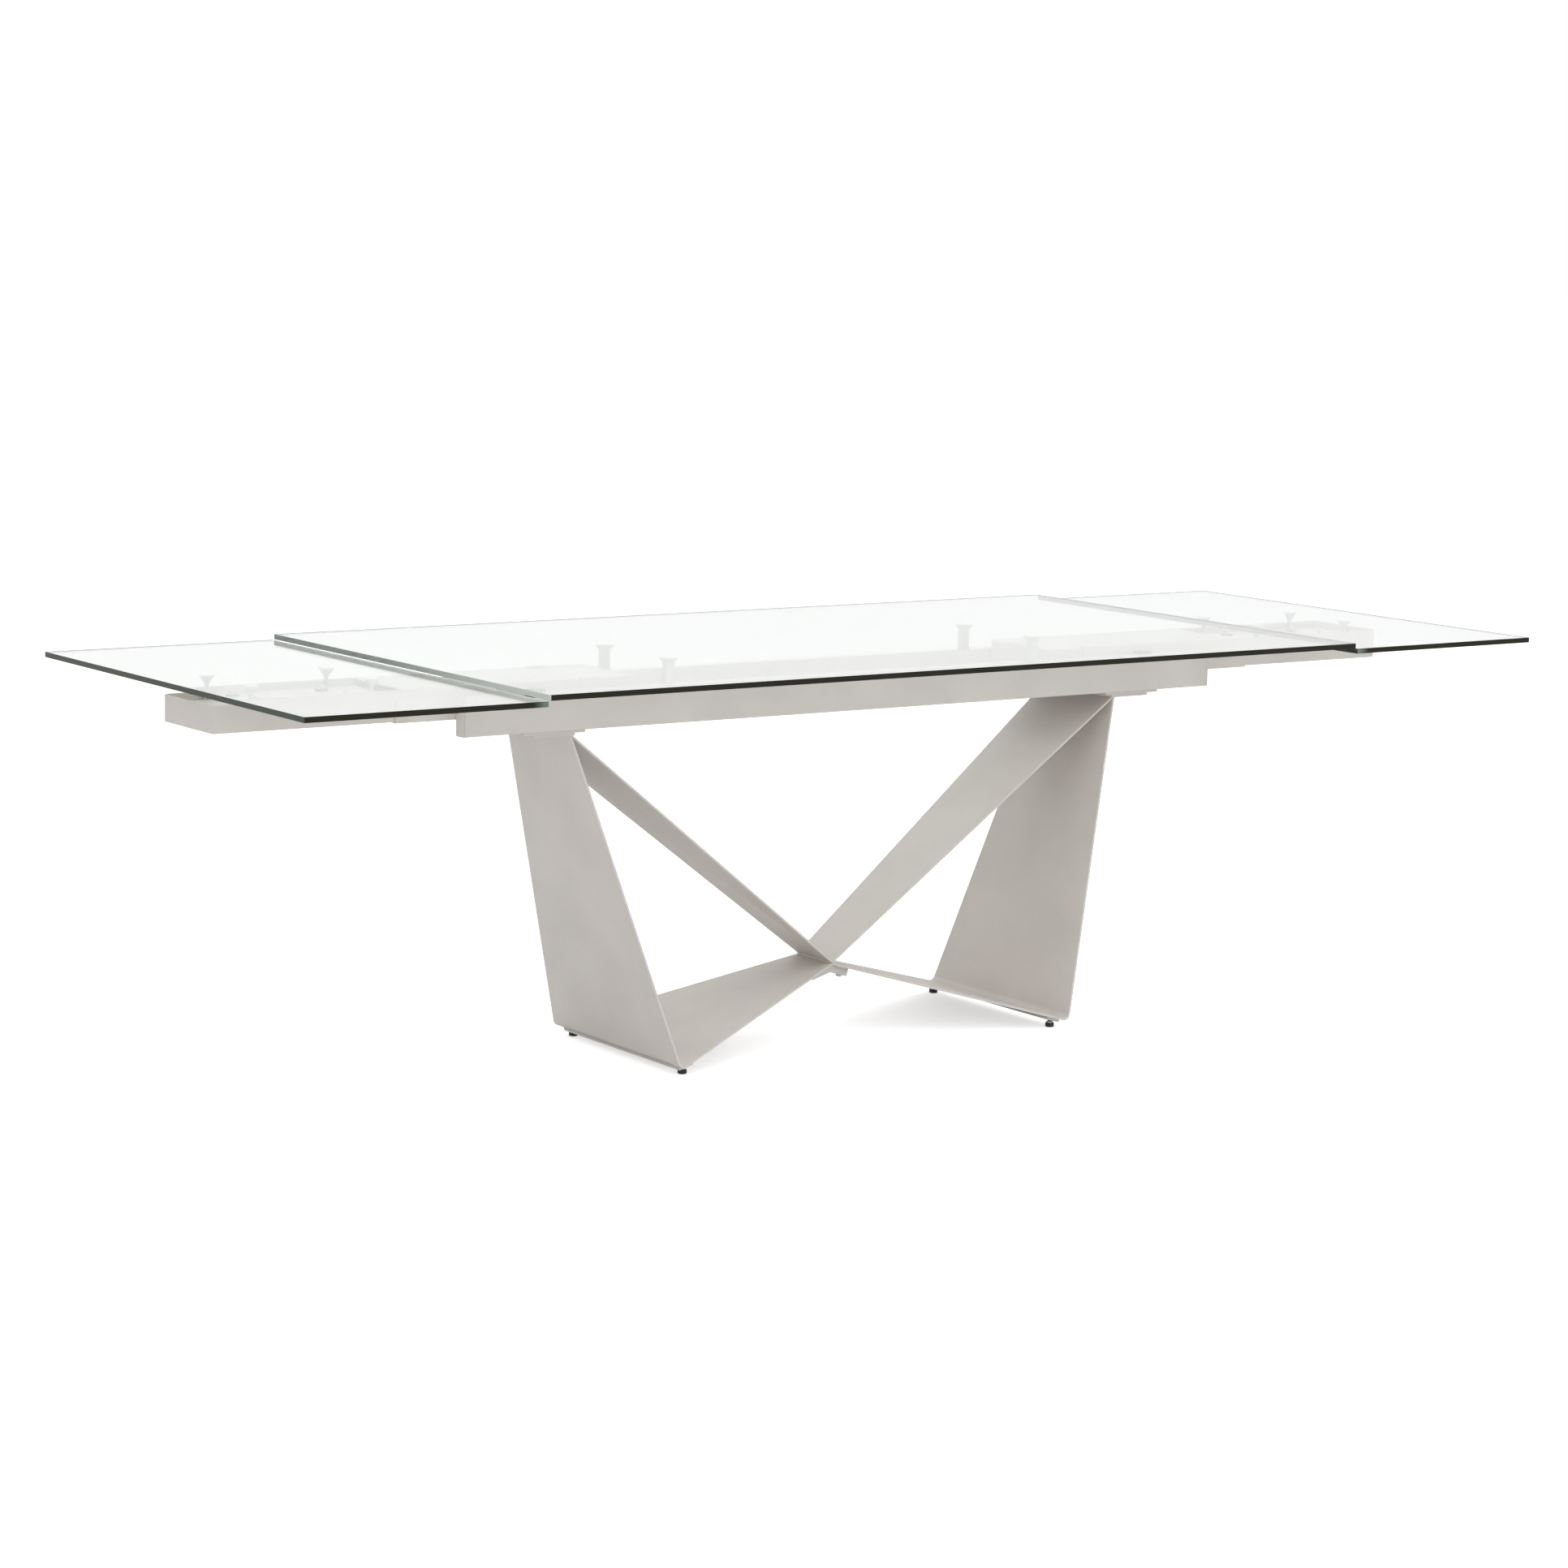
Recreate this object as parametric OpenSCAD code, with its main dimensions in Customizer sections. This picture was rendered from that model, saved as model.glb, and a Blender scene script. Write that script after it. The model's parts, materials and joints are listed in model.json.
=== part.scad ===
// Extendable dining table: glass top, two glass leaves on telescopic trays, base of two
// triangular loops of bent steel plate. Millimetres, +Z up, floor at Z = 0, length along X.
// It stands with both trays pulled out and both leaves at their lower, sliding level.

/* [Top] */
// Width of every glass panel
top_w = 1000; // [900:10:1100]
// Length of the fixed centre glass
centre_len = 1816; // [1810:2:1822]
// Length of one leaf glass
leaf_len = 462; // [458:1:464]
// Thickness of the glass
glass_t = 10; // [8:1:10]
// Height of the upper face of the centre glass
top_h = 761.5; // [759.5:0.5:764.5]
// Air between a leaf and the underside of the centre glass as it slides
slide_gap = 0.4; // [0.3:0.1:0.6]
// Gap between a leaf and the centre glass, seen from above
seam_gap = 2.5; // [2:0.5:3]

/* [Rails] */
// Length of the two side rails, end caps included
rail_len = 1716; // [1700:4:1724]
// Height of a side rail
rail_h = 62.5; // [60:0.5:62.5]
// Thickness of a side rail
rail_t = 27; // [25:1:30]
// Height of the lower face of the rails
rail_z = 639; // [639:0.5:639.5]
// Distance of the centre posts from the middle of the table
post_x = 420; // [400:5:420]

/* [Trays] */
// Half the width of a tray
tray_half_w = 94; // [90:1:94]
// Length of a tray
tray_len = 858; // [850:1:860]
// Height of a tray
tray_h = 48; // [46:1:48]
// How far a tray stands out past the end of the rails
tray_out = 475; // [470:1:476]
// How far a sleeve stands out past the end of the rails
sleeve_out = 121; // [110:1:121]
// Length of a sleeve
sleeve_len = 420; // [410:5:430]
// Distance of the outer cone supports from the outer end of the tray
support_in = 78; // [75:1:90]
// Distance between the two rows of cone supports
support_pitch = 235; // [225:5:240]

/* [Base] */
// Thickness of the bent plates
plate_t = 4; // [3.5:0.5:5]
// Distance of the leg tops from the middle of the table
leg_top_x = 630; // [626:1:632]
// Half the width of a leg plate at its top
leg_top_half_w = 111; // [108:1:114]
// Distance of the floor bends from the middle of the table
bend_x = 451; // [448:1:454]
// Half the width of a leg plate at the floor bend
bend_half_w = 221.5; // [218:0.5:225]
// Outer radius of the floor bends
bend_r = 15; // [14:1:17]
// Height of the crease where the two loops meet, on its lower side
crease_z = 139.5; // [137:0.5:142]
// Half the width of the plates at the crease
crease_half_w = 57; // [55:1:60]
// Distance of the floor glides from the middle of the table, along the table
glide_x = 428; // [424:1:430]
// Distance of the floor glides from the middle of the table, across the table
glide_y = 190; // [180:2:192]

/* [Hidden] */
$fn = 64;
eps = 0.01;
fit = 0.3; // air between sliding sheet-metal members
big = 2000;

centre_z = top_h - glass_t;
leaf_drop = glass_t + slide_gap;
leaf_z = centre_z - leaf_drop;
leaf_x = centre_len / 2 + seam_gap;
rail_end = rail_len / 2;
rail_top = rail_z + rail_h;
cap_t = 3;
tube_wall = 2;

sheet = 2;
tray_end = rail_end + tray_out;
tray_z = 670.5;
tray_top = tray_z + tray_h;
sleeve_end = rail_end + sleeve_out;
sleeve_in = tray_half_w + fit;
sleeve_half_w = sleeve_in + sheet;
rail_y = sleeve_half_w + fit;
sleeve_z = tray_z - fit - sheet;

member_w = 30;
member_h = 24;
member_z = 640.5;
pad_top = sleeve_z - fit;
member_x = [715, 580];
pad_y = 80;
block_x = 700;

deck_t = 3;
deck_z = tray_top - 16;
deck_len = 372;
support_y = 84;
pin_r = 5;
pin_fit = 0.05;
pin_y = 45;
bush_r = 9;
bush_h = 12;
bush_z = deck_z - 6;

post_y = rail_y + rail_t / 2;
leg_top_z = 627.5;
bend_z = 12.5;
bolt_y = 60;
bolt_x = [652, 678];
clamp_half = 43;
clamp_half_w = 50;
clamp_t = 15.5;
clamp_bolt = [31, 34];
bolt_depth = 2.5;
glide_h = 8;
stem_top = 17.5;

function unit(v) = v / norm(v);
function side_of(v) = [-v[1], v[0]];

// ---- shared shapes ----

// A block centred on Y = 0 between two X values and two Z values
module block(x0, x1, half_w, z0, z1) {
    translate([x0, -half_w, z0])
        cube([x1 - x0, 2 * half_w, z1 - z0]);
}

// A flat slab with rounded upright corners
module rounded_slab(x0, x1, half_w, z, t, r) {
    translate([0, 0, z])
        linear_extrude(t)
            rounded_rect(x0, x1, half_w, r);
}

module rounded_rect(x0, x1, half_w, r) {
    translate([x0 + r, -half_w])
        square([x1 - x0 - 2 * r, 2 * half_w]);
    translate([x0, -half_w + r])
        square([x1 - x0, 2 * half_w - 2 * r]);
    for (x = [x0 + r, x1 - r], y = [-half_w + r, half_w - r])
        translate([x, y])
            circle(r);
}

// An outline in X and Z, carried across the table
module across(width) {
    rotate([90, 0, 0])
        linear_extrude(width, center = true)
            children();
}

// A copy at both ends of the table
module both_ends() {
    children();
    mirror([1, 0, 0])
        children();
}

// A strip of plate whose outer edge runs from a to b, with the plate on its left
module strip(a, b, t) {
    n = side_of(unit(b - a)) * t;
    polygon([a, b, b + n, a + n]);
}

// ---- base plates, drawn for the left end ----

top_pt = [-leg_top_x, leg_top_z];
bend_pt = [-bend_x, bend_z];
crease_pt = [0, crease_z];
leg_dir = unit(top_pt - bend_pt);
bottom_dir = unit(crease_pt - bend_pt);
half_angle = acos(leg_dir * bottom_dir) / 2;
bend_run = bend_r / tan(half_angle);
bend_centre = bend_pt + unit(leg_dir + bottom_dir) * bend_r / sin(half_angle);
leg_tangent = bend_pt + leg_dir * bend_run;
bottom_tangent = bend_pt + bottom_dir * bend_run;
bottom_slope = (crease_z - bend_z) / bend_x;
bottom_angle = atan(bottom_slope);
strut_pt = [0, crease_z + 2.8];
strut_top = [-leg_top_x, leg_top_z + 0.5];

// The corner between a leg line and a bottom line, moved in by depth, and everything inside it
module corner_area(depth, reach) {
    inward = -side_of(leg_dir);
    upward = side_of(bottom_dir);
    top_end = top_pt + leg_dir * (20 + reach);
    crease_end = crease_pt + bottom_dir * (20 + reach);
    polygon([
        top_end + inward * depth, leg_tangent + inward * depth, bend_centre,
        bottom_tangent + upward * depth, crease_end + upward * depth,
        crease_end + upward * (200 + reach), top_end + inward * (200 + reach)
    ]);
    translate(bend_centre)
        circle(bend_r - depth);
}

module bent_profile() {
    difference() {
        corner_area(0, 0);
        corner_area(plate_t, 20);
    }
}

// The plates are widest at the floor bend and narrow towards the leg top and the crease
module plate_outline() {
    intersection() {
        rotate([90, 0, 90])
            linear_extrude(big, center = true)
                polygon([
                    [-leg_top_half_w, leg_top_z], [leg_top_half_w, leg_top_z],
                    [bend_half_w, bend_z], [bend_half_w, 0],
                    [-bend_half_w, 0], [-bend_half_w, bend_z]
                ]);
        linear_extrude(leg_top_z)
            polygon([
                [0, crease_half_w], [0, -crease_half_w], [-bend_x, -bend_half_w],
                [-2 * bend_x, 2 * crease_half_w - 2 * bend_half_w],
                [-2 * bend_x, 2 * bend_half_w - crease_half_w], [-bend_x, bend_half_w]
            ]);
    }
}

module leg_plate() {
    difference() {
        intersection() {
            across(2 * bend_half_w + 2)
                bent_profile();
            plate_outline();
        }
        at_clamp_bolts()
            cylinder(r = 4.05, h = clamp_t + bolt_depth + 0.5);
    }
}

// Places on the lower face of the clamp's left wing, square to it
module at_clamp_bolts() {
    z = crease_z - clamp_bolt[0] * bottom_slope - clamp_t / cos(bottom_angle);
    for (y = [-clamp_bolt[1], clamp_bolt[1]])
        translate([-clamp_bolt[0], y, z])
            rotate([0, -bottom_angle, 0])
                children();
}

module strut_plate() {
    intersection() {
        across(2 * bend_half_w)
            difference() {
                strip(strut_top + unit(strut_top - strut_pt) * 40,
                      strut_pt - unit(strut_top - strut_pt) * 40, plate_t);
                square([big, big]);
                translate([-big, leg_top_z])
                    square([2 * big, big]);
                polygon([
                    crease_pt + [0, plate_t / cos(bottom_angle)], [0, -big], [-big, -big],
                    [-bend_x, bend_z + plate_t / cos(bottom_angle)]
                ]);
                polygon([
                    top_pt + leg_dir * 99 - side_of(leg_dir) * (plate_t + eps),
                    bend_pt - side_of(leg_dir) * (plate_t + eps), [-big, 0], [-big, big]
                ]);
            }
        linear_extrude(leg_top_z)
            polygon([
                [0, crease_half_w], [0, -crease_half_w],
                [-leg_top_x, -leg_top_half_w], [-leg_top_x, leg_top_half_w]
            ]);
    }
}

module foot_bar() {
    foot = [-glide_x, bend_z + (bend_x - glide_x) * bottom_slope];
    along = bottom_dir * 15;
    down = side_of(bottom_dir) * -6;
    difference() {
        across(2 * glide_y + 24)
            polygon([foot - along, foot + along, foot + along + down, foot - along + down]);
        for (y = [-glide_y, glide_y])
            translate([-glide_x, y, 0])
                cylinder(r = 4.05, h = stem_top + 0.5);
    }
}

module floor_glide() {
    rotate_extrude()
        polygon([
            [0, 0], [7.3, 0], [8.5, 1.2], [8.5, glide_h - 0.6], [7.9, glide_h],
            [4, glide_h], [4, stem_top], [0, stem_top]
        ]);
}

// ---- frame under the glass ----

module mounting_plate() {
    difference() {
        block(-710, -620, 114, leg_top_z, leg_top_z + 6);
        mount_holes(4.05);
    }
}

module saddle_plate() {
    difference() {
        block(-732, -602, 119, leg_top_z + 6, rail_z);
        mount_holes(4.05);
    }
}

module mount_holes(r) {
    for (x = bolt_x, y = [-bolt_y, bolt_y])
        translate([-x, y, leg_top_z - 1])
            cylinder(r = r, h = 20);
}

module hex_bolt(grip) {
    cylinder(r = 4, h = grip);
    translate([0, 0, -5])
        cylinder(r = 6.5, h = 5);
    translate([0, 0, -5.6])
        cylinder(r = 4.5, h = 0.6);
}

// A round-headed bolt, its head below
module button_bolt(grip) {
    rotate_extrude()
        polygon([
            [0, -4.6], [2.8, -4.6], [4.8, -3.6], [5.9, -1.7], [6, 0], [4, 0],
            [4, grip], [0, grip]
        ]);
}

module side_rail() {
    x = rail_end - cap_t;
    translate([-x, rail_y, rail_z])
        difference() {
            cube([2 * x, rail_t, rail_h]);
            translate([-eps, tube_wall, tube_wall])
                cube([2 * x + 2 * eps, rail_t - 2 * tube_wall, rail_h - 2 * tube_wall]);
        }
}

// A cap and its plug at the left end of the far rail
module rail_cap() {
    r = 2.9;
    plug_gap = 0.2;
    inner = tube_wall + plug_gap;
    translate([-rail_end, rail_y + rail_t / 2, rail_z])
        rounded_slab(0, cap_t, rail_t / 2, 0, rail_h, r / 2);
    translate([-rail_end + cap_t, rail_y + inner, rail_z + inner])
        cube([18, rail_t - 2 * inner, rail_h - 2 * inner]);
}

module cross_member(x) {
    translate([x - member_w / 2, -rail_y, member_z])
        difference() {
            cube([member_w, 2 * rail_y, member_h]);
            translate([tube_wall, -eps, tube_wall])
                cube([member_w - 2 * tube_wall, 2 * rail_y + 2 * eps, member_h - 2 * tube_wall]);
        }
}

module centre_post() {
    rotate_extrude()
        polygon([
            [0, rail_top], [14, rail_top], [14, rail_top + 3], [11, rail_top + 3],
            [11, centre_z - 10], [17, centre_z - 4], [18, centre_z - 3], [18, centre_z - 1],
            [0, centre_z - 1]
        ]);
}

// ---- pull-out trays and leaves, drawn for the left end ----

// A channel round the tray, with two tabs bent over the tray at its inner end
module sleeve() {
    x0 = -sleeve_end;
    x1 = -sleeve_end + sleeve_len;
    wall_top = rail_top - fit;
    tab_top = tray_top + fit + sheet;
    difference() {
        block(x0, x1, sleeve_half_w, sleeve_z, tab_top);
        block(x0 - 1, x1 + 1, sleeve_in, sleeve_z + sheet, tray_top + fit);
        block(x0 - 1, x1 - 40, sleeve_half_w + 1, wall_top, tab_top + 1);
        block(x0 - 1, x1 + 1, sleeve_in - 8, sleeve_z + sheet, tab_top + 1);
    }
}

module tray() {
    x0 = -tray_end;
    x1 = -tray_end + tray_len;
    difference() {
        rounded_slab(x0, x1, tray_half_w, tray_z, tray_h, 6);
        rounded_slab(x0 + sheet, x1 - sheet, tray_half_w - sheet, tray_z + sheet, tray_h, 4);
    }
}

module tray_cover() {
    x0 = -tray_end + deck_len + 5;
    x1 = -tray_end + tray_len - sheet;
    rounded_slab(x0, x1, tray_half_w - sheet, tray_top - 3, sheet, 4);
}

function pin_xs() = [-tray_end + support_in + 30, -tray_end + support_in + support_pitch - 30];

module guide_pin() {
    rotate_extrude()
        polygon([
            [0, tray_z + sheet], [8, tray_z + sheet], [8, bush_z - fit], [pin_r, bush_z - fit],
            [pin_r, tray_top - 3], [pin_r - 1, tray_top - 2], [0, tray_top - 2]
        ]);
}

module lift_deck() {
    x0 = -tray_end + sheet + 0.6;
    difference() {
        rounded_slab(x0, -tray_end + deck_len, tray_half_w - sheet - 0.6, deck_z, deck_t, 4);
        for (x = pin_xs(), y = [-pin_y, pin_y])
            translate([x, y, deck_z - 1])
                cylinder(r = bush_r + 0.05, h = deck_t + 2);
    }
}

module deck_bush() {
    rotate_extrude()
        polygon([
            [pin_r + pin_fit, bush_z], [bush_r, bush_z], [bush_r, deck_z + deck_t],
            [bush_r + 3, deck_z + deck_t], [bush_r + 3, bush_z + bush_h],
            [pin_r + pin_fit, bush_z + bush_h]
        ]);
}

function support_xs() = [-tray_end + support_in, -tray_end + support_in + support_pitch];

module at_supports() {
    for (x = support_xs(), y = [-support_y, support_y])
        translate([x, y, 0])
            children();
}

module cone_support() {
    z = deck_z + deck_t;
    head = leaf_z - 1;
    rotate_extrude()
        polygon([
            [0, z], [7, z], [7, z + 3], [4, z + 4], [4, head - 15],
            [12.5, head - 2.5], [14, head - 2], [14, head], [0, head]
        ]);
}

module leaf_glass_panel() {
    rounded_slab(-leaf_x - leaf_len, -leaf_x, top_w / 2, leaf_z, glass_t, 3);
}

// ---- nodes ----

paint = [0.73, 0.71, 0.69];
steel = [0.62, 0.62, 0.62];
dark = [0.20, 0.20, 0.20];
glass = [0.80, 0.88, 0.86];

module left_leg_plate() { color(paint) leg_plate(); }
module right_leg_plate() { color(paint) mirror([1, 0, 0]) leg_plate(); }
module left_strut_plate() { color(paint) strut_plate(); }
module right_strut_plate() { color(paint) mirror([1, 0, 0]) strut_plate(); }

module centre_clamp_block() {
    edge = clamp_half * bottom_slope;
    down = clamp_t / cos(bottom_angle);
    in = clamp_t * sin(bottom_angle);
    fall = clamp_t * cos(bottom_angle);
    color(paint)
        difference() {
            across(2 * clamp_half_w)
                translate(crease_pt)
                    polygon([
                        [0, 0], [clamp_half, -edge], [clamp_half - in, -edge - fall],
                        [0, -down], [in - clamp_half, -edge - fall], [-clamp_half, -edge]
                    ]);
            both_ends()
                at_clamp_bolts()
                    translate([0, 0, -2])
                        cylinder(r = 4.05, h = clamp_t + 4);
        }
}

module centre_bolts() {
    color(steel)
        both_ends()
            at_clamp_bolts()
                button_bolt(clamp_t + bolt_depth);
}

module left_foot_bar() { color(paint) foot_bar(); }
module right_foot_bar() { color(paint) mirror([1, 0, 0]) foot_bar(); }

module floor_glides() {
    color(dark)
        for (x = [-glide_x, glide_x], y = [-glide_y, glide_y])
            translate([x, y, 0])
                floor_glide();
}

module left_mounting_plate() { color(paint) mounting_plate(); }
module right_mounting_plate() { color(paint) mirror([1, 0, 0]) mounting_plate(); }
module left_saddle_plate() { color(paint) saddle_plate(); }
module right_saddle_plate() { color(paint) mirror([1, 0, 0]) saddle_plate(); }

module mounting_bolts() {
    color(steel)
        both_ends()
            for (x = bolt_x, y = [-bolt_y, bolt_y])
                translate([-x, y, leg_top_z])
                    hex_bolt(14);
}

module far_side_rail() { color(paint) side_rail(); }
module near_side_rail() { color(paint) mirror([0, 1, 0]) side_rail(); }

module rail_end_caps() {
    color(paint)
        both_ends() {
            rail_cap();
            mirror([0, 1, 0])
                rail_cap();
        }
}

module cross_members() {
    color(paint) {
        cross_member(0);
        for (x = member_x, s = [-1, 1])
            cross_member(s * x);
    }
}

module glide_pads() {
    color(dark)
        for (x = member_x, s = [-1, 1], y = [-pad_y, pad_y])
            translate([s * x - 13, y - 10, member_z + member_h])
                cube([26, 20, pad_top - member_z - member_h]);
}

module hold_down_blocks() {
    color(dark)
        for (x = [-block_x, block_x], s = [0, 1])
            mirror([0, s, 0])
                translate([x - 15, sleeve_in + 0.6, rail_top])
                    cube([30, 22, 5]);
}

module centre_posts() {
    color(steel)
        for (x = [-post_x, post_x], y = [-post_y, post_y])
            translate([x, y, 0])
                centre_post();
}

module post_pads() {
    color(glass)
        for (x = [-post_x, post_x], y = [-post_y, post_y])
            translate([x, y, centre_z - 1])
                cylinder(r = 17, h = 1);
}

module centre_glass() {
    color(glass)
        rounded_slab(-centre_len / 2, centre_len / 2, top_w / 2, centre_z, glass_t, 3);
}

module left_sleeve() { color(paint) sleeve(); }
module right_sleeve() { color(paint) mirror([1, 0, 0]) sleeve(); }
module left_tray() { color(paint) tray(); }
module right_tray() { color(paint) mirror([1, 0, 0]) tray(); }
module left_tray_cover() { color(paint) tray_cover(); }
module right_tray_cover() { color(paint) mirror([1, 0, 0]) tray_cover(); }

module guide_pins() {
    color(steel)
        for (x = pin_xs(), y = [-pin_y, pin_y])
            translate([x, y, 0])
                guide_pin();
}

module left_guide_pins() { guide_pins(); }
module right_guide_pins() { mirror([1, 0, 0]) guide_pins(); }
module left_lift_deck() { color(paint) lift_deck(); }
module right_lift_deck() { color(paint) mirror([1, 0, 0]) lift_deck(); }

module deck_bushes() {
    color(dark)
        for (x = pin_xs(), y = [-pin_y, pin_y])
            translate([x, y, 0])
                deck_bush();
}

module left_deck_bushes() { deck_bushes(); }
module right_deck_bushes() { mirror([1, 0, 0]) deck_bushes(); }

module cone_supports() {
    color(steel)
        at_supports()
            cone_support();
}

module left_cone_supports() { cone_supports(); }
module right_cone_supports() { mirror([1, 0, 0]) cone_supports(); }

module support_pads() {
    color(glass)
        at_supports()
            translate([0, 0, leaf_z - 1])
                cylinder(r = 13, h = 1);
}

module left_support_pads() { support_pads(); }
module right_support_pads() { mirror([1, 0, 0]) support_pads(); }
module left_leaf_glass() { color(glass) leaf_glass_panel(); }
module right_leaf_glass() { color(glass) mirror([1, 0, 0]) leaf_glass_panel(); }

left_leg_plate();
right_leg_plate();
left_strut_plate();
right_strut_plate();
centre_clamp_block();
centre_bolts();
left_foot_bar();
right_foot_bar();
floor_glides();
left_mounting_plate();
right_mounting_plate();
left_saddle_plate();
right_saddle_plate();
mounting_bolts();
near_side_rail();
far_side_rail();
rail_end_caps();
cross_members();
glide_pads();
hold_down_blocks();
centre_posts();
post_pads();
centre_glass();
left_sleeve();
left_tray();
left_tray_cover();
left_guide_pins();
left_lift_deck();
left_deck_bushes();
left_cone_supports();
left_support_pads();
left_leaf_glass();
right_sleeve();
right_tray();
right_tray_cover();
right_guide_pins();
right_lift_deck();
right_deck_bushes();
right_cone_supports();
right_support_pads();
right_leaf_glass();
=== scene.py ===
"""Extendable dining table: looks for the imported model, in metres, in its own frame."""
import json
import math

import bmesh
import bpy
from mathutils import Matrix, Vector


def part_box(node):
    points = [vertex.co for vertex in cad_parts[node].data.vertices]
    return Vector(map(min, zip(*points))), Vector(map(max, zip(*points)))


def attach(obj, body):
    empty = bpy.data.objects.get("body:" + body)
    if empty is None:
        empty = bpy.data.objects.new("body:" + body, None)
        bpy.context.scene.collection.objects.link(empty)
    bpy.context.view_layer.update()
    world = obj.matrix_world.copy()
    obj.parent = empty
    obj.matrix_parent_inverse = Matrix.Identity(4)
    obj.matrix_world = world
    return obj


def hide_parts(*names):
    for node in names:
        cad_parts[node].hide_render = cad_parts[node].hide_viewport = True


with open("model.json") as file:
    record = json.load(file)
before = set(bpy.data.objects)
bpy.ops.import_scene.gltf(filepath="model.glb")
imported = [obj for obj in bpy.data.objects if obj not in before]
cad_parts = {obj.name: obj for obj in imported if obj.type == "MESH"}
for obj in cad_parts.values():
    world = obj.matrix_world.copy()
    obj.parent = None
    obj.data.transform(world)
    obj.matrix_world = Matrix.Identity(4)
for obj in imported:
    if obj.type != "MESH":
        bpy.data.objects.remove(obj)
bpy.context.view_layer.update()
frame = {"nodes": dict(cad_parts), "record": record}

NODES = frame["nodes"]
BODIES = frame["record"]["behaviour"]["bodies"]
BODY_OF = {name: body for body, names in BODIES.items() for name in names}
MM = 0.001
WHITE = (1, 1, 1, 1)

# ---------------------------------------------------------------- camera

CAMERA_AT = (-4.4452, -6.2976, 1.6278)
YAW, PITCH, ROLL = math.radians(34.715), math.radians(8.465), math.radians(1.159)
LENS_MM, SENSOR_MM = 93.53, 36
CLIP_END = 200


def make_camera():
    """Looks along +Y, turned by the yaw towards +X, tipped down by the pitch, then rolled."""
    forward = Vector((math.sin(YAW) * math.cos(PITCH), math.cos(YAW) * math.cos(PITCH),
                      -math.sin(PITCH)))
    right = Vector((math.cos(YAW), -math.sin(YAW), 0))
    up = right.cross(forward)
    across = right * math.cos(ROLL) + up * math.sin(ROLL)
    upward = up * math.cos(ROLL) - right * math.sin(ROLL)
    turn = Matrix((across, upward, -forward)).transposed()
    data = bpy.data.cameras.new("camera")
    data.lens = LENS_MM
    data.sensor_width = SENSOR_MM
    data.sensor_fit = "HORIZONTAL"
    data.clip_end = CLIP_END
    camera = bpy.data.objects.new("camera", data)
    camera.matrix_world = Matrix.Translation(CAMERA_AT) @ turn.to_4x4()
    bpy.context.collection.objects.link(camera)
    bpy.context.scene.camera = camera


# ---------------------------------------------------------------- shader helpers

# A Mix node's colour sockets share their names with its others, so they go by number
MIX_A, MIX_B, MIX_RESULT = 6, 7, 2


def connect(tree, made, **inputs):
    """Gives each input a value or another node's output. _ stands for a space in its name."""
    for key, value in inputs.items():
        socket = made.inputs[key.replace("_", " ")]
        if isinstance(value, bpy.types.NodeSocket):
            tree.links.new(value, socket)
        else:
            socket.default_value = value


def node(tree, kind, **inputs):
    made = tree.nodes.new(kind)
    connect(tree, made, **inputs)
    return made


def new_material(name):
    material = bpy.data.materials.new(name)
    material.use_nodes = True
    tree = material.node_tree
    shader = next(n for n in tree.nodes if n.type == "BSDF_PRINCIPLED")
    return material, tree, shader


def object_coords(tree, scale=(1, 1, 1)):
    coords = node(tree, "ShaderNodeTexCoord")
    mapping = node(tree, "ShaderNodeMapping", Vector=coords.outputs["Object"], Scale=scale)
    return mapping.outputs["Vector"]


def noise(tree, vector, scale, detail):
    made = node(tree, "ShaderNodeTexNoise", Vector=vector, Scale=scale, Detail=detail)
    return made.outputs["Fac"]


def ramp(tree, value, low, high):
    """Each end is a position on the ramp, and a grey level or a colour."""
    made = node(tree, "ShaderNodeValToRGB", Fac=value)
    for element, (position, colour) in zip(made.color_ramp.elements, (low, high)):
        rgb = colour if isinstance(colour, tuple) else (colour,) * 3
        element.position = position
        element.color = (*rgb, 1)
    return made.outputs["Color"]


def spread(tree, value, low, high, start=0.0, stop=1.0, kind="LINEAR"):
    """Takes value from start..stop to low..high."""
    made = node(tree, "ShaderNodeMapRange", Value=value, To_Min=low, To_Max=high,
                From_Min=start, From_Max=stop)
    made.interpolation_type = kind
    return made.outputs["Result"]


def bump(tree, height, distance, strength):
    made = node(tree, "ShaderNodeBump", Height=height, Distance=distance, Strength=strength)
    return made.outputs["Normal"]


# ---------------------------------------------------------------- materials

PAINT = (0.655, 0.617, 0.580)
GLASS_TINT = (0.955, 0.985, 0.965, 1)
# The tint of the reflections on the ground edges of the glass
EDGE_GLEAM = (1.0, 0.95, 0.78, 1)


def powder_coat():
    """Satin powder coat: fine orange peel, faint cloudiness, slightly uneven gloss."""
    material, tree, shader = new_material("powder_coat")
    coords = object_coords(tree)
    darker = tuple(c * 0.965 for c in PAINT)
    lighter = tuple(c * 1.03 for c in PAINT)
    connect(tree, shader,
            Base_Color=ramp(tree, noise(tree, coords, 7, 3), (0.35, darker), (0.65, lighter)),
            Roughness=ramp(tree, noise(tree, coords, 60, 3), (0.3, 0.40), (0.7, 0.52)),
            Specular_IOR_Level=0.4,
            Normal=bump(tree, noise(tree, coords, 950, 2), 0.06 * MM, 0.6))
    return material


def turned_steel():
    """Satin stainless steel with fine turning lines round the vertical axis."""
    material, tree, shader = new_material("turned_steel")
    lines = noise(tree, object_coords(tree, (1, 1, 60)), 120, 2)
    connect(tree, shader,
            Base_Color=ramp(tree, lines, (0.3, (0.52, 0.52, 0.51)), (0.7, (0.66, 0.66, 0.65))),
            Roughness=ramp(tree, lines, (0.3, 0.30), (0.7, 0.42)),
            Metallic=1.0,
            Normal=bump(tree, lines, 0.03 * MM, 0.5))
    return material


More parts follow.
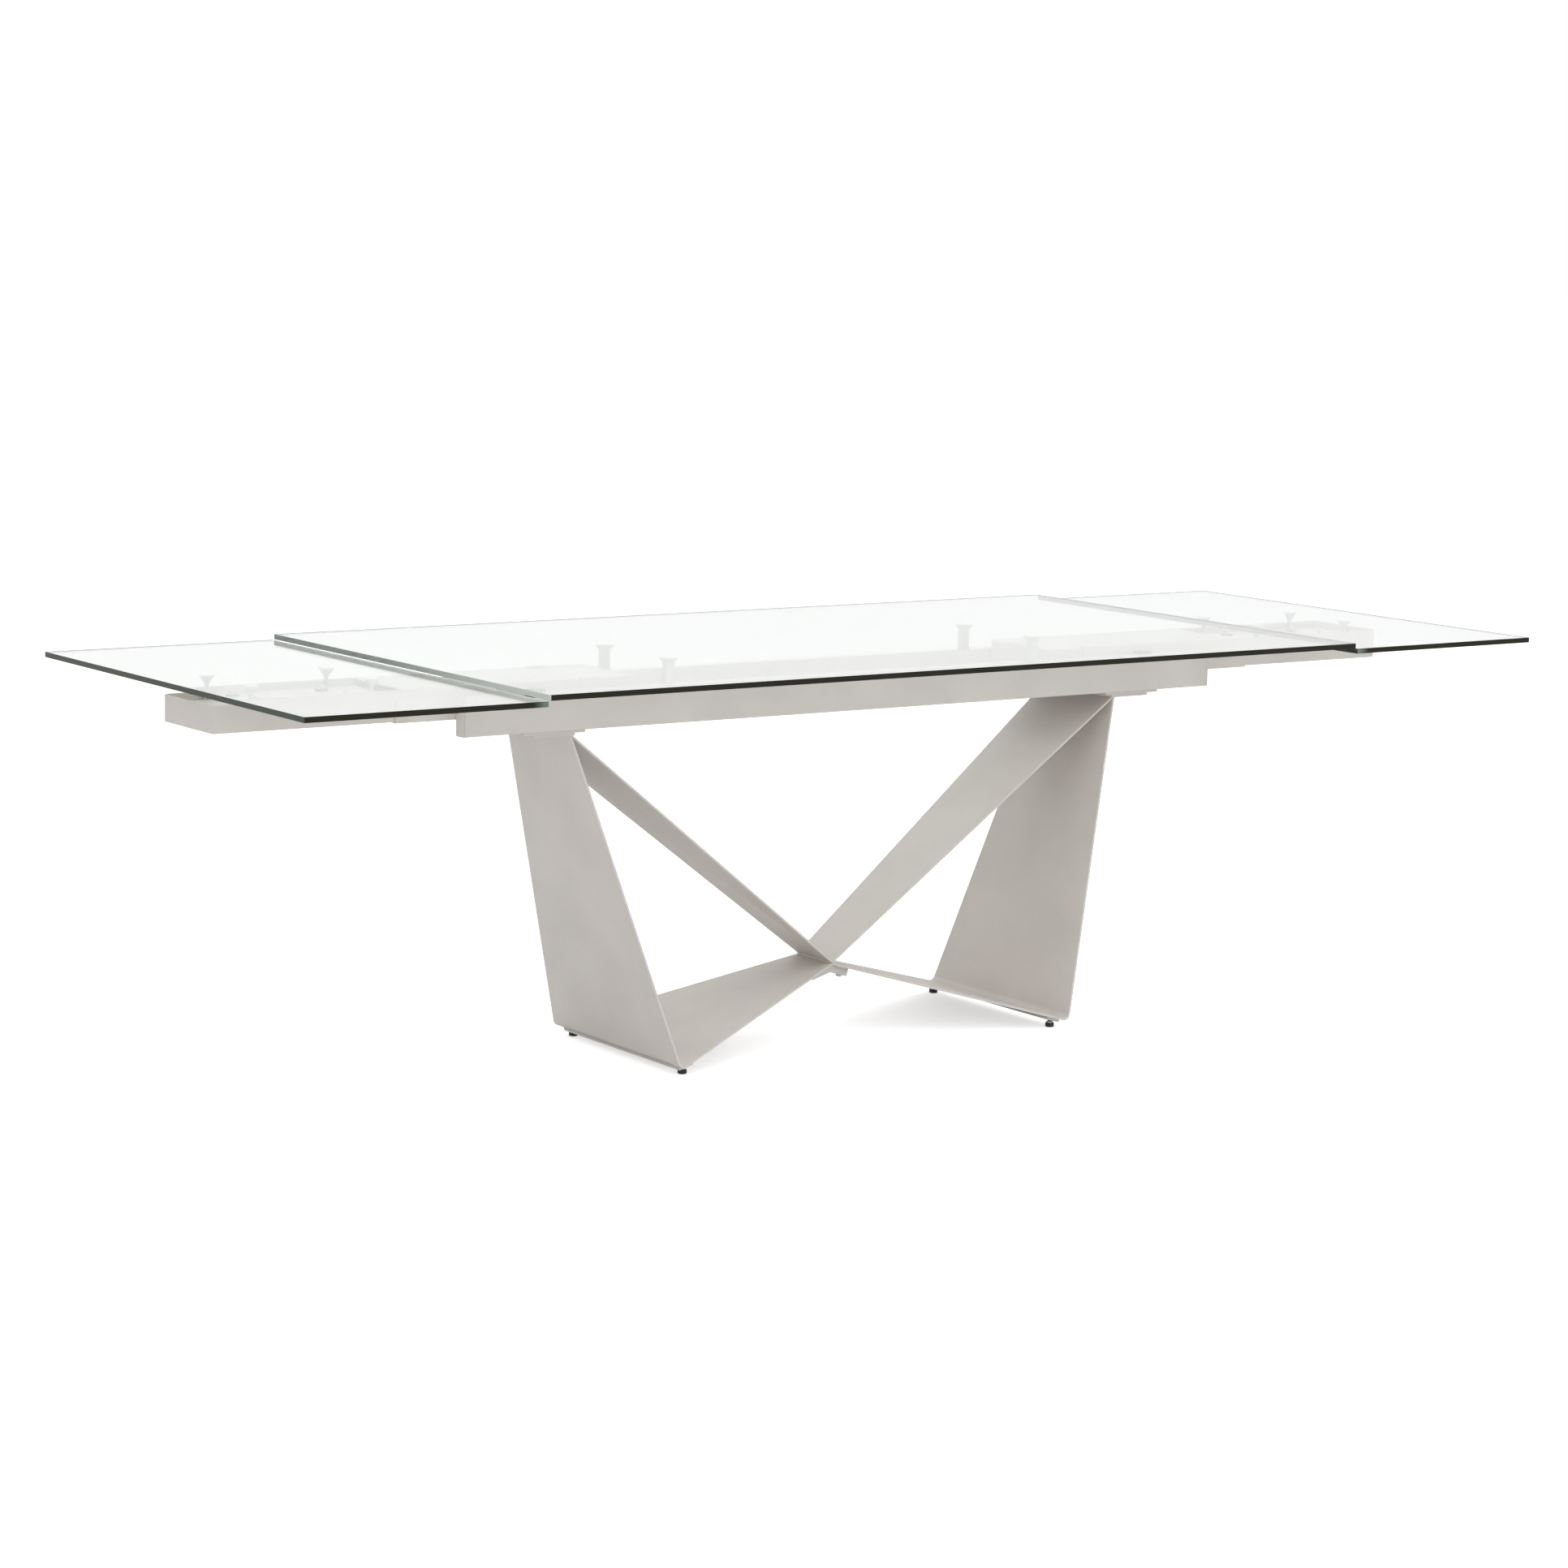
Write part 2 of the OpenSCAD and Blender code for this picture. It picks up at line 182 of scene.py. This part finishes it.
def dark_plastic():
    """Moulded black plastic with a grained surface."""
    material, tree, shader = new_material("dark_plastic")
    coords = object_coords(tree)
    low, high = (0.020, 0.020, 0.020), (0.042, 0.042, 0.041)
    connect(tree, shader,
            Base_Color=ramp(tree, noise(tree, coords, 90, 4), (0.3, low), (0.7, high)),
            Roughness=ramp(tree, noise(tree, coords, 220, 2), (0.3, 0.50), (0.7, 0.68)),
            Normal=bump(tree, noise(tree, coords, 1500, 2), 0.08 * MM, 0.7))
    return material


def cured_glue():
    """Cured milky adhesive between a metal disc and the glass."""
    material, tree, shader = new_material("cured_glue")
    coords = object_coords(tree)
    low, high = (0.80, 0.82, 0.81), (0.89, 0.91, 0.90)
    connect(tree, shader,
            Base_Color=ramp(tree, noise(tree, coords, 150, 2), (0.3, low), (0.7, high)),
            Roughness=ramp(tree, noise(tree, coords, 400, 2), (0.3, 0.25), (0.7, 0.4)))
    return material


def clear_glass():
    """Polished float glass, with the very slight waviness of its faces."""
    material, tree, shader = new_material("clear_glass")
    connect(tree, shader, Base_Color=GLASS_TINT, Roughness=0.0, IOR=1.52,
            Transmission_Weight=1.0,
            Normal=bump(tree, noise(tree, object_coords(tree), 2.2, 1), 0.02 * MM, 0.4))
    return material


def painted_glass_edge(name, deep, pale=None, axis="X", run=None):
    """A ground and polished edge, painted dark green as painted light: the colour stands for the
    light that has crossed the sheet.

    Where that light takes a shorter way the edge is painted paler, from run[0] to run[1] along the
    axis."""
    material, tree, shader = new_material(name)
    streaks = noise(tree, object_coords(tree, (1, 1, 14)), 45, 3)
    # Painted light: a dark colour with faint random streaks, and a paler painted stretch, stand in
    # for light seen through the glass
    colour = ramp(tree, streaks, (0.3, deep), (0.75, tuple(c * 1.6 for c in deep)))
    if pale:
        place = node(tree, "ShaderNodeSeparateXYZ", Vector=object_coords(tree))
        mix = node(tree, "ShaderNodeMix",
                   Factor=spread(tree, place.outputs[axis], 0.0, 1.0, *run, "SMOOTHSTEP"))
        mix.data_type = "RGBA"
        tree.links.new(colour, mix.inputs[MIX_A])
        mix.inputs[MIX_B].default_value = (*pale, 1)
        colour = mix.outputs[MIX_RESULT]
    connect(tree, shader, Base_Color=colour,
            Roughness=ramp(tree, streaks, (0.3, 0.10), (0.7, 0.2)),
            Specular_IOR_Level=0.3, Specular_Tint=EDGE_GLEAM)
    return material


# ---------------------------------------------------------------- light and floor

# The way towards the brightest light, and the light's strength from behind and from there
LIGHT_FROM = (0.62, -0.60, 0.50)
LIGHT_BACK, LIGHT_FRONT = 0.54, 1.24
# How bright the studio is when mirrored in the table, seen through its glass, and seen directly
LIGHT_MIRRORED, LIGHT_THROUGH, LIGHT_SEEN = 0.88, 1.75, 1.0
# Half the side of the floor, and how strongly it glows for the camera
FLOOR_HALF = 40
FLOOR_GLOW = 0.55


def make_world():
    """A white studio. Its uneven light falls on the table, but isn't seen in it or behind it."""
    world = bpy.data.worlds.new("studio")
    bpy.context.scene.world = world
    world.use_nodes = True
    tree = world.node_tree
    tree.nodes.clear()
    coords = node(tree, "ShaderNodeTexCoord")
    toward = node(tree, "ShaderNodeVectorMath", Vector=coords.outputs["Generated"])
    toward.operation = "DOT_PRODUCT"
    toward.inputs[1].default_value = Vector(LIGHT_FROM).normalized()
    ray = node(tree, "ShaderNodeLightPath").outputs
    light = spread(tree, toward.outputs["Value"], LIGHT_BACK, LIGHT_FRONT, -1.0, 1.0)
    glass = spread(tree, ray["Is Transmission Ray"], LIGHT_MIRRORED, LIGHT_THROUGH)
    seen = spread(tree, ray["Is Camera Ray"], glass, LIGHT_SEEN)
    strength = spread(tree, ray["Is Diffuse Ray"], seen, light)
    background = node(tree, "ShaderNodeBackground", Color=WHITE, Strength=strength)
    node(tree, "ShaderNodeOutputWorld", Surface=background.outputs["Background"])


def pale_floor():
    """Matt and nearly white, with a glow for the camera alone, so that shadows stay faint."""
    material, tree, shader = new_material("pale_floor")
    ray = node(tree, "ShaderNodeLightPath").outputs
    cloud = noise(tree, object_coords(tree), 0.6, 2)
    connect(tree, shader, Base_Color=ramp(tree, cloud, (0.3, 0.84), (0.7, 0.87)),
            Roughness=0.9, Specular_IOR_Level=0.1, Emission_Color=WHITE,
            Emission_Strength=spread(tree, ray["Is Camera Ray"], 0.0, FLOOR_GLOW))
    return material


def make_floor():
    mesh = bpy.data.meshes.new("floor")
    corners = [(x * FLOOR_HALF, y * FLOOR_HALF, 0)
               for x, y in ((-1, -1), (1, -1), (1, 1), (-1, 1))]
    mesh.from_pydata(corners, [], [(0, 1, 2, 3)])
    floor = bpy.data.objects.new("floor", mesh)
    bpy.context.collection.objects.link(floor)
    mesh.materials.append(pale_floor())


def add_piece(name, mesh, body):
    piece = bpy.data.objects.new(name, mesh)
    bpy.context.collection.objects.link(piece)
    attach(piece, body)
    return piece


# ---------------------------------------------------------------- glass

ARRIS = 0.4 * MM
CORNER_RADIUS = 3 * MM
# The undersides stay this much clear of the glue pads
GLUE_GAP = 0.1 * MM
# A leaf's near edge is painted paler, as painted light, over this length at its inner end
PALE_RUN = 34 * MM

# Painted light for the glass edges, darker or paler by side for light seen through the sheet.
# Edges: along the near side, at the table's two ends, along the far side, and where the near side
# is painted pale. Seams: the ends of the centre glass, painted paler from the far side to the near
# side
EDGE_DEEP = (0.0060, 0.0062, 0.0030)
EDGE_END = (0.030, 0.040, 0.031)
EDGE_FAR = (0.100, 0.125, 0.105)
EDGE_PALE = (0.16, 0.21, 0.18)
SEAM_FAR = (0.200, 0.230, 0.210)
SEAM_NEAR = (0.68, 0.72, 0.69)

# The order of a panel's materials
FACES, NEAR, LEFT, RIGHT, FAR = range(5)
# An edge face belongs to an end, or to the far side, when its normal leans there by this much
LEAN = 0.7


def rounded_outline(x0, x1, y0, y1, radius, steps=5):
    points = []
    corners = [(x1 - radius, y1 - radius, 0), (x0 + radius, y1 - radius, 90),
               (x0 + radius, y0 + radius, 180), (x1 - radius, y0 + radius, 270)]
    for cx, cy, start in corners:
        for i in range(steps + 1):
            angle = math.radians(start + 90 * i / steps)
            points.append((cx + radius * math.cos(angle), cy + radius * math.sin(angle)))
    return points


def side_of(normal):
    """Which edge of a panel a face with this normal belongs to."""
    if abs(normal.x) > LEAN:
        return LEFT if normal.x < 0 else RIGHT
    return FAR if normal.y > LEAN else NEAR


def panel_mesh(name, low, high, materials):
    """A glass sheet with rounded corners and small ground arrises."""
    mesh = bpy.data.meshes.new(name)
    bm = bmesh.new()
    rings = []
    for z, inset in ((low.z, ARRIS), (low.z + ARRIS, 0), (high.z - ARRIS, 0), (high.z, ARRIS)):
        outline = rounded_outline(low.x + inset, high.x - inset, low.y + inset, high.y - inset,
                                  CORNER_RADIUS - inset)
        rings.append([bm.verts.new((x, y, z)) for x, y in outline])
    bm.faces.new(rings[-1])
    bm.faces.new(reversed(rings[0]))
    count = len(rings[0])
    for lower, upper in zip(rings, rings[1:]):
        for i in range(count):
            j = (i + 1) % count
            face = bm.faces.new((lower[i], lower[j], upper[j], upper[i]))
            face.normal_update()
            face.material_index = side_of(face.normal)
    bm.normal_update()
    bm.to_mesh(mesh)
    bm.free()
    for material in materials:
        mesh.materials.append(material)
    return mesh


def glass_panels():
    """The centre and the leaves. The inner ends of the leaves are clear, the centre's are painted
    pale: painted light where the seams let it through.
    """
    face = clear_glass()
    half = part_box("centre_glass")[1].y
    end = painted_glass_edge("painted_glass_edge_end", EDGE_END)
    far = painted_glass_edge("painted_glass_edge_far", EDGE_FAR)
    seam = painted_glass_edge("painted_glass_edge_seam", SEAM_FAR, SEAM_NEAR, "Y", (0.5 * half, -half))
    near = {"centre_glass": painted_glass_edge("painted_glass_edge_centre_glass", EDGE_DEEP)}
    for leaf, side, inner in (("left_leaf_glass", -1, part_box("left_leaf_glass")[1].x),
                              ("right_leaf_glass", 1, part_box("right_leaf_glass")[0].x)):
        near[leaf] = painted_glass_edge("painted_glass_edge_" + leaf, EDGE_DEEP, EDGE_PALE, "X",
                                (inner + side * PALE_RUN, inner))
    for panel, ends in (("left_leaf_glass", (end, face)), ("centre_glass", (seam, seam)),
                        ("right_leaf_glass", (face, end))):
        low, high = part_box(panel)
        low.z += GLUE_GAP
        mesh = panel_mesh(panel + "_polished", low, high, (face, near[panel], *ends, far))
        piece = add_piece(panel + "_polished", mesh, BODY_OF[panel])
        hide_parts(panel)


# ---------------------------------------------------------------- small hardware, in mm

def highest(node_name):
    """The node's highest corner."""
    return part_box(node_name)[1] / MM


LEG_TOP_X, _, LEG_TOP_Z = highest("right_leg_plate")
CREASE_Z = highest("centre_clamp_block").z
BLOCK_TOP = highest("hold_down_blocks").z
DECK_TOP = highest("left_lift_deck").z

# The corner that a leg plate's outer faces meet at, and the slope of its bottom plate
BEND_X, BEND_Z = 451, 12.5
BOTTOM_SLOPE = (CREASE_Z - BEND_Z) / BEND_X
# The thickness of the clamp block
CLAMP_T = 15.5

# Where the fasteners stand, on the right and at the far side
CLAMP_BOLT_X, CLAMP_BOLT_Y = 31, 34
MOUNT_BOLT_XS, MOUNT_BOLT_Y = (652, 678), 60
GLIDE_X, GLIDE_Y = 428, 190
BLOCK_SCREW_X, BLOCK_SCREW_Y = 700, 106
DECK_SCREW_XS, DECK_SCREW_Y = (1306, 986), 78

# Weld beads: x on the right, z, half the length and the radius. They lie between the struts,
# between each strut and bottom plate, and outside and inside each leg top
BEADS = [(0, CREASE_Z + 9.3, 55, 2.0), (4, CREASE_Z + 4.7, 55, 1.9),
         (LEG_TOP_X + 0.8, LEG_TOP_Z - 1, 109, 2.0),
         (LEG_TOP_X - 8.8, LEG_TOP_Z - 7.9, 109, 2.1)]
BEAD_SIDES = 10
# A bead's radius between its ripples and at its two ends, as a share of its full radius
BEAD_DIP, BEAD_TIP = 0.86, 0.5

# Points this close, in metres, become one, and flatter joins than this angle are shaded smooth
MERGE = 1e-6
SMOOTH_BELOW = math.radians(38)
# The number of sides of a turned or six-sided stretch of an outline
ROUND, HEX = 0, 6


def arc(middle, height, radius, start, stop, steps=4):
    """A round stretch of an outline, between two angles in degrees."""
    angles = [math.radians(start + (stop - start) * i / steps) for i in range(steps + 1)]
    return [(middle + radius * math.cos(a), height + radius * math.sin(a), ROUND) for a in angles]


# Outlines from one end of the axis to the other: radius, height, round or hexagonal
CLAMP_BOLT = [(0, 18, ROUND), (3.4, 18, ROUND), (4, 17.4, ROUND), (4, 0, ROUND),
              (6, 0, ROUND), *arc(2.8, -1.5, 3.1, 0, -90),
              (2.2, -4.6, HEX), (2.0, -4.3, HEX), (2.0, -2.0, HEX), (0, -1.6, ROUND)]
MOUNT_BOLT = [(0, 14, ROUND), (3.4, 14, ROUND), (4, 13.4, ROUND), (4, 0, ROUND),
              (7.6, 0, ROUND), (7.8, -0.3, ROUND), (7.8, -1.1, ROUND), (7.5, -1.4, ROUND),
              (5.6, -1.4, HEX), (5.6, -4.8, HEX), (5.2, -5.4, ROUND), (0, -5.5, ROUND)]
PAN_SCREW = [(0, -2, ROUND), (1.8, -2, ROUND), (1.8, 0, ROUND), (3.6, 0, ROUND),
             *arc(1.9, 0.1, 1.7, 0, 90), (1.25, 1.8, HEX), (1.25, 0.6, HEX), (0, 0.5, ROUND)]
GLIDE_NUT = [(4.1, 8.1, ROUND), (5.4, 8.1, ROUND), (5.8, 8.4, HEX), (5.8, 10.5, HEX),
             (5.4, 10.8, ROUND), (4.1, 10.8, ROUND), (4.1, 8.1, ROUND)]


def lathe(bm, outline, place, segments=24):
    """Turns an outline round the vertical axis. A hexagon's radius is half its width."""
    rings = []
    for radius, height, sides in outline:
        ring = []
        for i in range(segments if radius else 1):
            angle = 2 * math.pi * i / segments
            reach = radius
            if sides:
                part = 2 * math.pi / sides
                reach = radius / math.cos((angle + part / 2) % part - part / 2)
            point = Vector((reach * math.cos(angle), reach * math.sin(angle), height))
            ring.append(bm.verts.new(place @ point * MM))
        rings.append(ring)
    for lower, upper in zip(rings, rings[1:]):
        for i in range(segments):
            j = (i + 1) % segments
            corners = (lower[i % len(lower)], lower[j % len(lower)],
                       upper[j % len(upper)], upper[i % len(upper)])
            bm.faces.new(list(dict.fromkeys(corners)))


def weld_bead(bm, x, z, half_length, radius):
    """A bead laid across the table, with the ripples that a welder's torch leaves."""
    steps = 2 * int(half_length / radius)
    angles = [2 * math.pi * k / BEAD_SIDES for k in range(BEAD_SIDES)]
    rings = []
    for i in range(steps + 1):
        swell = radius * (1 if i % 2 else BEAD_DIP)
        if i in (0, steps):
            swell *= BEAD_TIP
        y = half_length * (2 * i / steps - 1)
        ring = [(x + swell * math.cos(a), y, z + swell * math.sin(a)) for a in angles]
        rings.append([bm.verts.new(Vector(point) * MM) for point in ring])
    for lower, upper in zip(rings, rings[1:]):
        for k in range(BEAD_SIDES):
            m = (k + 1) % BEAD_SIDES
            bm.faces.new((lower[k], lower[m], upper[m], upper[k]))
    bm.faces.new(rings[0])
    bm.faces.new(reversed(rings[-1]))


def clamp_bolts(bm):
    """Up through the clamp block, square to the bottom plates."""
    angle = math.atan(BOTTOM_SLOPE)
    z = CREASE_Z - CLAMP_BOLT_X * BOTTOM_SLOPE - CLAMP_T / math.cos(angle)
    for side in (-1, 1):
        for y in (-CLAMP_BOLT_Y, CLAMP_BOLT_Y):
            lathe(bm, CLAMP_BOLT, Matrix.Translation((side * CLAMP_BOLT_X, y, z))
                  @ Matrix.Rotation(side * angle, 4, "Y"))


def upright(outline, xs, y, z):
    """Draws the same fastener at each x and y, on both sides of the middle."""
    def build(bm):
        for x in xs:
            for side_y in (-y, y):
                lathe(bm, outline, Matrix.Translation((x, side_y, z)))
    return build


def both_ways(*xs):
    """The same distances to the left and to the right."""
    return [side * x for side in (-1, 1) for x in xs]


def weld_beads(bm):
    for x, z, half_length, radius in BEADS:
        for mirrored_x in sorted({-x, x}):
            weld_bead(bm, mirrored_x, z, half_length, radius)


def hardware(name, build, body, slot, material, *replaced):
    """A group of small parts in one piece: build(bm) draws them."""
    bm = bmesh.new()
    build(bm)
    bmesh.ops.remove_doubles(bm, verts=bm.verts, dist=MERGE)
    bmesh.ops.recalc_face_normals(bm, faces=bm.faces)
    mesh = bpy.data.meshes.new(name)
    bm.to_mesh(mesh)
    bm.free()
    mesh.shade_smooth()
    mesh.set_sharp_from_angle(angle=SMOOTH_BELOW)
    mesh.materials.append(material)
    piece = add_piece(name, mesh, body)
    if replaced:
        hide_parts(*replaced)


def add_hardware(paint, steel):
    """The fasteners and welds that the CAD leaves out or only stands in for."""
    mounting_bolts = upright(MOUNT_BOLT, both_ways(*MOUNT_BOLT_XS), MOUNT_BOLT_Y, LEG_TOP_Z)
    glide_nuts = upright(GLIDE_NUT, both_ways(GLIDE_X), GLIDE_Y, 0)
    block_screws = upright(PAN_SCREW, both_ways(BLOCK_SCREW_X), BLOCK_SCREW_Y, BLOCK_TOP)
    hardware("clamp_bolts_turned", clamp_bolts, "base_frame", "bare_steel", steel,
             "centre_bolts")
    hardware("mounting_bolts_turned", mounting_bolts, "base_frame", "bare_steel", steel,
             "mounting_bolts")
    hardware("glide_nuts", glide_nuts, "base_frame", "bare_steel", steel)
    hardware("block_screws", block_screws, "base_frame", "bare_steel", steel)
    hardware("weld_beads", weld_beads, "base_frame", "painted_steel", paint)
    for side, name in ((-1, "left"), (1, "right")):
        deck_screws = upright(PAN_SCREW, [side * x for x in DECK_SCREW_XS], DECK_SCREW_Y,
                              DECK_TOP)
        hardware(name + "_deck_screws", deck_screws, name + "_leaf", "bare_steel", steel)


# ---------------------------------------------------------------- finish of the CAD pieces

# Width in mm of the rounded edge on each painted or moulded piece, by how its name ends
EDGE_WIDTHS = {
    "leg_plate": 0.8, "strut_plate": 0.8, "foot_bar": 0.8, "mounting_plate": 0.8,
    "saddle_plate": 0.8, "clamp_block": 1.0, "side_rail": 1.0, "rail_end_caps": 1.0,
    "cross_members": 1.0, "sleeve": 0.4, "tray": 0.7, "tray_cover": 0.4, "lift_deck": 0.6,
    "glide_pads": 0.6, "hold_down_blocks": 0.8,
}
# Joins sharper than this angle are rounded
ROUND_ABOVE = math.radians(50)


def round_edges(piece, width):
    weld = piece.modifiers.new("weld", "WELD")
    weld.merge_threshold = MERGE
    bevel = piece.modifiers.new("edge", "BEVEL")
    bevel.width = width * MM
    bevel.segments = 3
    bevel.limit_method = "ANGLE"
    bevel.angle_limit = ROUND_ABOVE
    bevel.harden_normals = True


def finish_nodes():
    """Gives the CAD pieces their materials and rounded edges, and adds the hardware."""
    finishes = {"painted_steel": powder_coat(), "bare_steel": turned_steel(),
                "dark_plastic": dark_plastic(), "bonding_pad": cured_glue()}
    for part in frame["record"]["subparts"]:
        name, slot = part["node"], part["material_slot"]
        if slot not in finishes:
            continue
        piece = NODES[name]
        for material_slot in piece.material_slots:
            material_slot.material = finishes[slot]
        width = next((w for key, w in EDGE_WIDTHS.items() if name.endswith(key)), None)
        if width:
            round_edges(piece, width)
    add_hardware(finishes["painted_steel"], finishes["bare_steel"])


def main():
    bpy.context.scene.view_settings.view_transform = "Standard"
    make_camera()
    make_world()
    make_floor()
    finish_nodes()
    glass_panels()


main()
